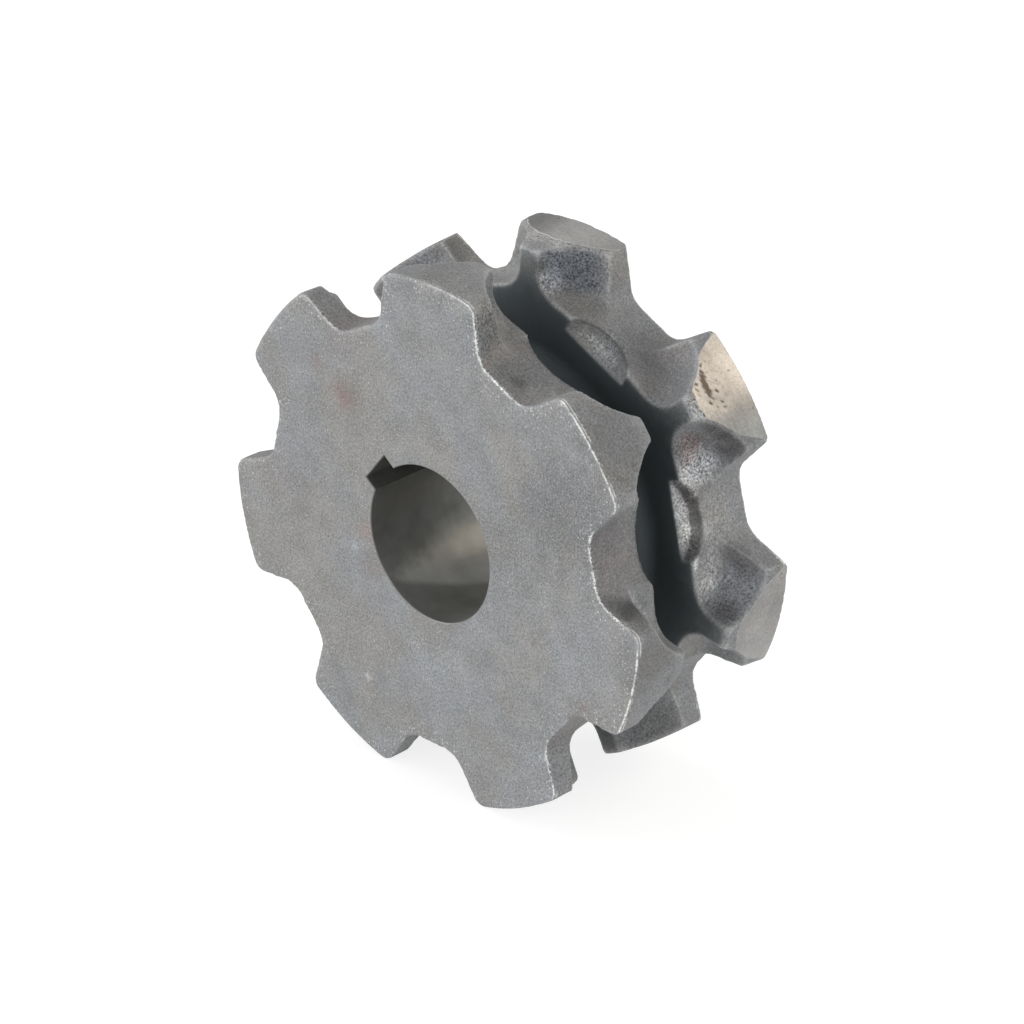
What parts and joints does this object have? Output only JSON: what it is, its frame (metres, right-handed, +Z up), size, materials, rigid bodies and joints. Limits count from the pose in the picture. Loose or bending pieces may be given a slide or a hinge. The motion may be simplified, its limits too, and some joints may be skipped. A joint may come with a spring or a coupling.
{
  "type": "chain sprocket",
  "caption": "Cast pocket wheel with link seats between two toothed flanges, a central groove and a keyed bore, to drive round link chain.",
  "frame": {"origin": "middle of the bore, on its axis, halfway between the two faces", "axes": "+Y along the bore axis, from the front face to the rear face; +Z up, through the middle of one tooth; the front face looks along -Y; +X to the right as the front face is looked at"},
  "size_m": [0.1358, 0.053, 0.1337],
  "materials": {
    "cast_iron": "as cast and shot blasted, with a machined bore and keyway and turned rear tips"
  },
  "bodies": {
    "root": {"sprocket": "cast_iron"}
  },
  "joints": []
}
